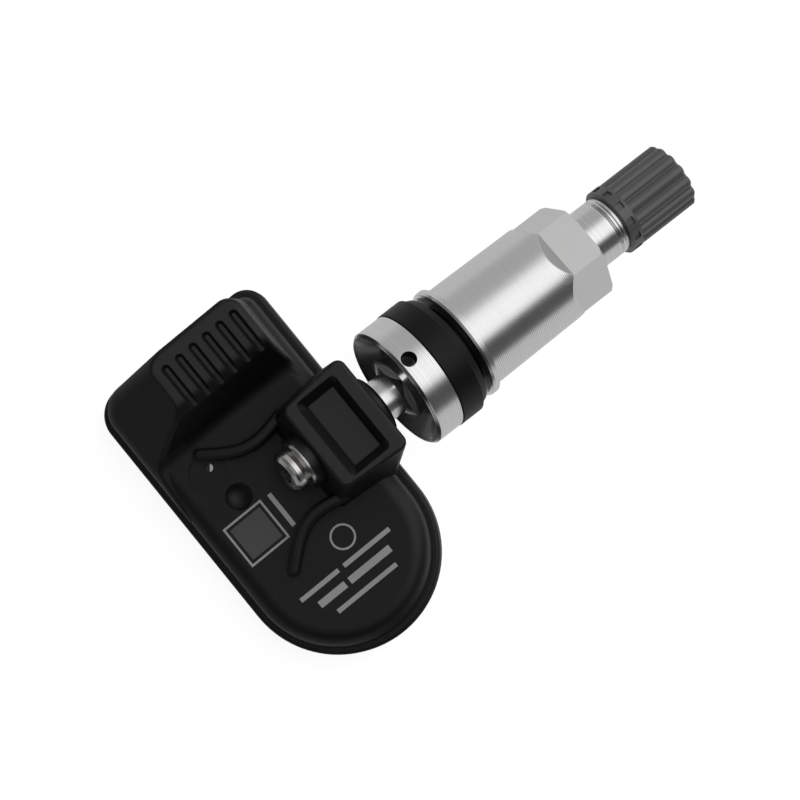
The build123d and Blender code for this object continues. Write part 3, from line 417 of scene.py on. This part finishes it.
# Each node's material: its name, darker tone, lighter tone and roughness
FINISHES = {
    "housing": housing_plastic(),
    "base_cover": moulded("cover_plastic", (0.004, 0.004, 0.0045), (0.006, 0.006, 0.0065),
                          roughness=0.5, grain=0.11, height=0.005),
    "rubber_grommet": moulded("rubber", (0.003, 0.003, 0.0035), (0.005, 0.005, 0.0055),
                              roughness=0.45, grain=0.25, height=0.003, gloss=0.26),
    "valve_cap": moulded("cap_plastic", (0.078, 0.078, 0.079), (0.098, 0.098, 0.099),
                         roughness=0.36, grain=0.13, height=0.006, gloss=0.85),
    "valve_stem": stem_metal(),
    "sleeve_nut": nut_metal(),
    "mounting_screw": turned_metal("screw_steel", (0.62, 0.61, 0.6), (0.7, 0.69, 0.68),
                                   roughness=0.22, pitch=0.4, height=0.0006),
    "slip_washer": turned_metal("washer_steel", (0.55, 0.55, 0.54), (0.62, 0.62, 0.61),
                                roughness=0.3, pitch=0.2, height=0.002),
    "core_barrel": plain("core_brass", (0.62, 0.46, 0.2), (0.76, 0.6, 0.3), 0.28, metallic=1.0),
    "core_pin": plain("pin_brass", (0.62, 0.46, 0.2), (0.76, 0.6, 0.3), 0.25, metallic=1.0),
    "core_seal": plain("core_ring", (0.5, 0.1, 0.07), (0.6, 0.16, 0.1), 0.45),
    "core_foot_seal": plain("core_rubber", (0.015, 0.015, 0.015), (0.025, 0.025, 0.025), 0.6),
    "core_spring": plain("spring_steel", (0.5, 0.5, 0.5), (0.6, 0.6, 0.6), 0.25, metallic=1.0),
    "cap_seal": plain("cap_rubber", (0.03, 0.03, 0.03), (0.045, 0.045, 0.045), 0.6),
    "circuit_board": plain("solder_mask", (0.015, 0.09, 0.04), (0.02, 0.13, 0.06), 0.3),
    "battery": plain("nickel_can", (0.6, 0.6, 0.58), (0.7, 0.7, 0.68), 0.28, metallic=1.0),
    "battery_tab_lower": plain("tab_nickel_lower", (0.6, 0.58, 0.54), (0.68, 0.66, 0.6), 0.3, metallic=1.0),
    "battery_tab_upper": plain("tab_nickel_upper", (0.6, 0.58, 0.54), (0.68, 0.66, 0.6), 0.3, metallic=1.0),
    "sensor_chip": plain("chip_resin", (0.02, 0.02, 0.022), (0.03, 0.03, 0.032), 0.4),
    "port_gasket": plain("silicone", (0.4, 0.12, 0.07), (0.5, 0.17, 0.1), 0.5),
    "port_filter": filter_disc(),
    "coil_core": plain("ferrite", (0.06, 0.06, 0.065), (0.1, 0.1, 0.105), 0.6),
    "coil_winding": plain("enamelled_copper", (0.45, 0.16, 0.06), (0.62, 0.26, 0.1), 0.3, metallic=1.0),
    "crystal": plain("crystal_can", (0.66, 0.65, 0.61), (0.75, 0.74, 0.7), 0.25, metallic=1.0),
    "radio_antenna": plain("antenna_brass", (0.65, 0.48, 0.22), (0.78, 0.58, 0.28), 0.3, metallic=1.0),
    "chip_parts": plain("ceramic", (0.3, 0.22, 0.15), (0.4, 0.3, 0.21), 0.5),
}


def dress_nodes():
    """Gives every node its own finish."""
    for name, material in FINISHES.items():
        mesh = nodes[name].data
        mesh.materials.clear()
        mesh.materials.append(material)


def new_piece(name, points, faces, material, body):
    """Mesh piece that moves with a body."""
    mesh = bpy.data.meshes.new(name)
    mesh.from_pydata(points, [], faces)
    mesh.materials.append(material)
    piece = bpy.data.objects.new(name, mesh)
    bpy.context.scene.collection.objects.link(piece)
    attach(piece, body)


def on_label(x, y, height):
    return HOUSING_ORIGIN + from_housing(x * MM, y * MM, LABEL_HEIGHT + height)


def ring_points(middle, radius):
    turns = [2 * math.pi * i / PRINT_RING_CORNERS for i in range(PRINT_RING_CORNERS)]
    return [(middle[0] + radius * math.cos(turn), middle[1] + radius * math.sin(turn)) for turn in turns]


def box_points(middle, size):
    half_x, half_y = size[0] / 2, size[1] / 2
    return [(middle[0] + x * half_x, middle[1] + y * half_y) for x, y in ((-1, -1), (1, -1), (1, 1), (-1, 1))]


def printed(name, outer, inner=None, ink=PRINT_INK):
    """Thin raised field of ink: a filled outline, or the band between two outlines."""
    count = len(outer)
    loops = [outer] if inner is None else [outer, inner]
    points = [on_label(*at, height) for height in (0, PRINT_HEIGHT) for loop in loops for at in loop]
    top = count * len(loops)
    sides = [(i, (i + 1) % count) for i in range(count)]
    faces = [(a, b, top + b, top + a) for a, b in sides]
    if inner is None:
        faces += [tuple(range(top, top + count)), tuple(reversed(range(count)))]
    else:
        faces += [(count + b, count + a, top + count + a, top + count + b) for a, b in sides]
        faces += [(top + a, top + b, top + count + b, top + count + a) for a, b in sides]
        faces += [(b, a, count + a, count + b) for a, b in sides]
    new_piece(name, points, faces, ink, "sensor")


def print_label():
    """Plain print in the places of the label's fields: a framed square, a ring and bars."""
    middle, size, line = PRINT_FRAME
    printed("print_frame", box_points(middle, size), box_points(middle, [side - 2 * line for side in size]))
    printed("print_field", box_points(middle, PRINT_FIELD), ink=FIELD_INK)
    middle, radius, line = PRINT_RING
    printed("print_ring", ring_points(middle, radius), ring_points(middle, radius - line))
    for number, (middle, size) in enumerate(PRINT_BARS, start=1):
        printed(f"print_bar_{number}", box_points(middle, size))


def cut_thread():
    """Thread that the cap screws onto: a low helical ridge on the stem's end, faded at both its ends."""
    start = CAP_BACK + 2 * THREAD_MARGIN
    turns = (STEM_FRONT - CAP_BACK - 3 * THREAD_MARGIN) / THREAD_PITCH
    count = int(turns * THREAD_STEPS)
    points, faces = [], []
    for i in range(count + 1):
        turn = 2 * math.pi * i / THREAD_STEPS
        swell = min(1, i / THREAD_STEPS, (count - i) / THREAD_STEPS)
        for ahead, rise in THREAD_PROFILE:
            radius = THREAD_RADIUS + THREAD_CREST * (rise * swell if rise > 0 else rise)
            x = start + THREAD_PITCH * (i / THREAD_STEPS + ahead)
            points.append((x, radius * math.sin(turn), radius * math.cos(turn)))
    width = len(THREAD_PROFILE)
    for i in range(count):
        for j in range(width):
            a, b = i * width + j, i * width + (j + 1) % width
            faces.append((a, b, b + width, a + width))
    faces += [tuple(reversed(range(width))), tuple(range(count * width, (count + 1) * width))]
    new_piece("cap_thread", points, faces, FINISHES["valve_stem"], "sensor")


def mix_shaders(tree, share, first, second):
    """Shader between two others, by a 0 to 1 share of the second."""
    node = add(tree, "ShaderNodeMixShader", Fac=share)
    feed(tree, first, node.inputs[1])
    feed(tree, second, node.inputs[2])
    return node.outputs[0]


def levels(tree, source, table):
    """Brightness that runs straight from each place of a table to the next."""
    first, last = table[0][0], table[-1][0]
    colours = add(tree, "ShaderNodeValToRGB", Fac=ramp(tree, source, first, last))
    stops = colours.color_ramp.elements
    stops.remove(stops[-1])
    stops[0].position = 0
    stops[0].color = (*[table[0][1]] * 3, 1)
    for at, level in table[1:]:
        stops.new((at - first) / (last - first)).color = (level, level, level, 1)
    return colours.outputs["Color"]


def make_floor():
    """Pale floor: white to the camera with a faint shadow, and in reflections a painted grey glow with a
    painted shadow under the housing.
    """
    bpy.ops.mesh.primitive_plane_add(size=FLOOR_SIZE, location=(0, 0, cad_low.z - FLOOR_DROP))
    floor = bpy.context.object
    floor.name = "floor"
    material = bpy.data.materials.new("floor")
    material.use_nodes = True
    tree = material.node_tree
    tree.nodes.clear()
    output = add(tree, "ShaderNodeOutputMaterial")
    paper = add(tree, "ShaderNodeBsdfDiffuse", Color=FLOOR_COLOUR).outputs[0]
    glow = add(tree, "ShaderNodeEmission", Strength=FLOOR_SHOWN).outputs[0]
    x = along(tree, place(tree), (1, 0, 0))
    # Painted reflection: in reflections the floor glows by place, darker under the housing as a painted
    # shadow
    painted_shadow_levels = levels(tree, math_node(tree, "DIVIDE", x, MM), FLOOR_PAINTED_REFLECTION)
    painted_reflection = add(tree, "ShaderNodeEmission", Strength=painted_shadow_levels).outputs[0]
    ray = add(tree, "ShaderNodeLightPath").outputs
    glossy = math_node(tree, "MAXIMUM", ray["Is Glossy Ray"], ray["Is Transmission Ray"])
    seen = mix_shaders(tree, 1 - FLOOR_SHADOW_SHARE, paper, glow)
    unmirrored = mix_shaders(tree, ray["Is Camera Ray"], paper, seen)
    feed(tree, mix_shaders(tree, glossy, unmirrored, painted_reflection), output.inputs["Surface"])
    floor.data.materials.append(material)


def make_room():
    """World with bright and dark bands along the valve, like long softboxes and flags, and white behind."""
    world = bpy.data.worlds.new("room")
    bpy.context.scene.world = world
    world.use_nodes = True
    tree = world.node_tree
    split = add(tree, "ShaderNodeSeparateXYZ", Vector=coordinates(tree, "Generated"))
    angle = math_node(tree, "ARCTAN2", split.outputs["Y"], split.outputs["Z"])
    bands = levels(tree, math_node(tree, "MULTIPLY", angle, math.degrees(1)), ROOM_BANDS)
    sides = levels(tree, split.outputs["X"], ROOM_SIDES)
    to_camera = add(tree, "ShaderNodeLightPath").outputs["Is Camera Ray"]
    background = tree.nodes["Background"]
    shown = math_node(tree, "MAXIMUM", math_node(tree, "MULTIPLY", bands, sides), to_camera)
    feed(tree, shown, background.inputs["Strength"])
    feed(tree, (1, 1, 1), background.inputs["Color"])


def make_lamp():
    """Square lamp of a set brightness, aimed at the middle of the frame."""
    light = bpy.data.lights.new("overhead", "AREA")
    light.shape = "RECTANGLE"
    light.size = LAMP_SIDE
    light.size_y = LAMP_SIDE
    light.energy = LAMP_RADIANCE * math.pi * LAMP_SIDE * LAMP_SIDE
    lamp = bpy.data.objects.new("overhead", light)
    lamp.location = LAMP_PLACE
    lamp.rotation_mode = "QUATERNION"
    lamp.rotation_quaternion = (-Vector(LAMP_PLACE)).to_track_quat("-Z", "Y")
    lamp.visible_glossy = False
    bpy.context.scene.collection.objects.link(lamp)


def make_camera():
    """Camera at the photographed angle, with the housing's origin on its pixel and no shift."""
    side_x, side_y = CAMERA_SIDE
    outward = Vector((side_x, side_y, math.sqrt(1 - side_x ** 2 - side_y ** 2)))
    across = (Vector((1, 0, 0)) - outward * outward.x).normalized()
    level = outward.cross(across)
    right = across * math.cos(CAMERA_ROLL) - level * math.sin(CAMERA_ROLL)
    up = across * math.sin(CAMERA_ROLL) + level * math.cos(CAMERA_ROLL)
    focal_pixels = FOCAL_LENGTH / SENSOR_WIDTH * PICTURE_SIDE
    middle = PICTURE_SIDE / 2
    look = (-outward + right * (middle - ORIGIN_PIXEL[0]) / focal_pixels
            + up * (ORIGIN_PIXEL[1] - middle) / focal_pixels).normalized()
    right = look.cross(up).normalized()
    up = right.cross(look)
    turn = HOUSING_TURN @ Matrix((right, up, -look)).transposed()
    lens = bpy.data.cameras.new("camera")
    lens.sensor_width = SENSOR_WIDTH
    lens.lens = FOCAL_LENGTH
    lens.clip_start, lens.clip_end = CAMERA_CLIP
    camera = bpy.data.objects.new("camera", lens)
    stand = HOUSING_ORIGIN + from_housing(*(outward * CAMERA_DISTANCE))
    camera.matrix_world = Matrix.Translation(stand) @ turn.to_4x4()
    bpy.context.scene.collection.objects.link(camera)
    bpy.context.scene.camera = camera


dress_nodes()
print_label()
cut_thread()
make_floor()
make_room()
make_lamp()
make_camera()
bpy.context.scene.view_settings.view_transform = "Standard"
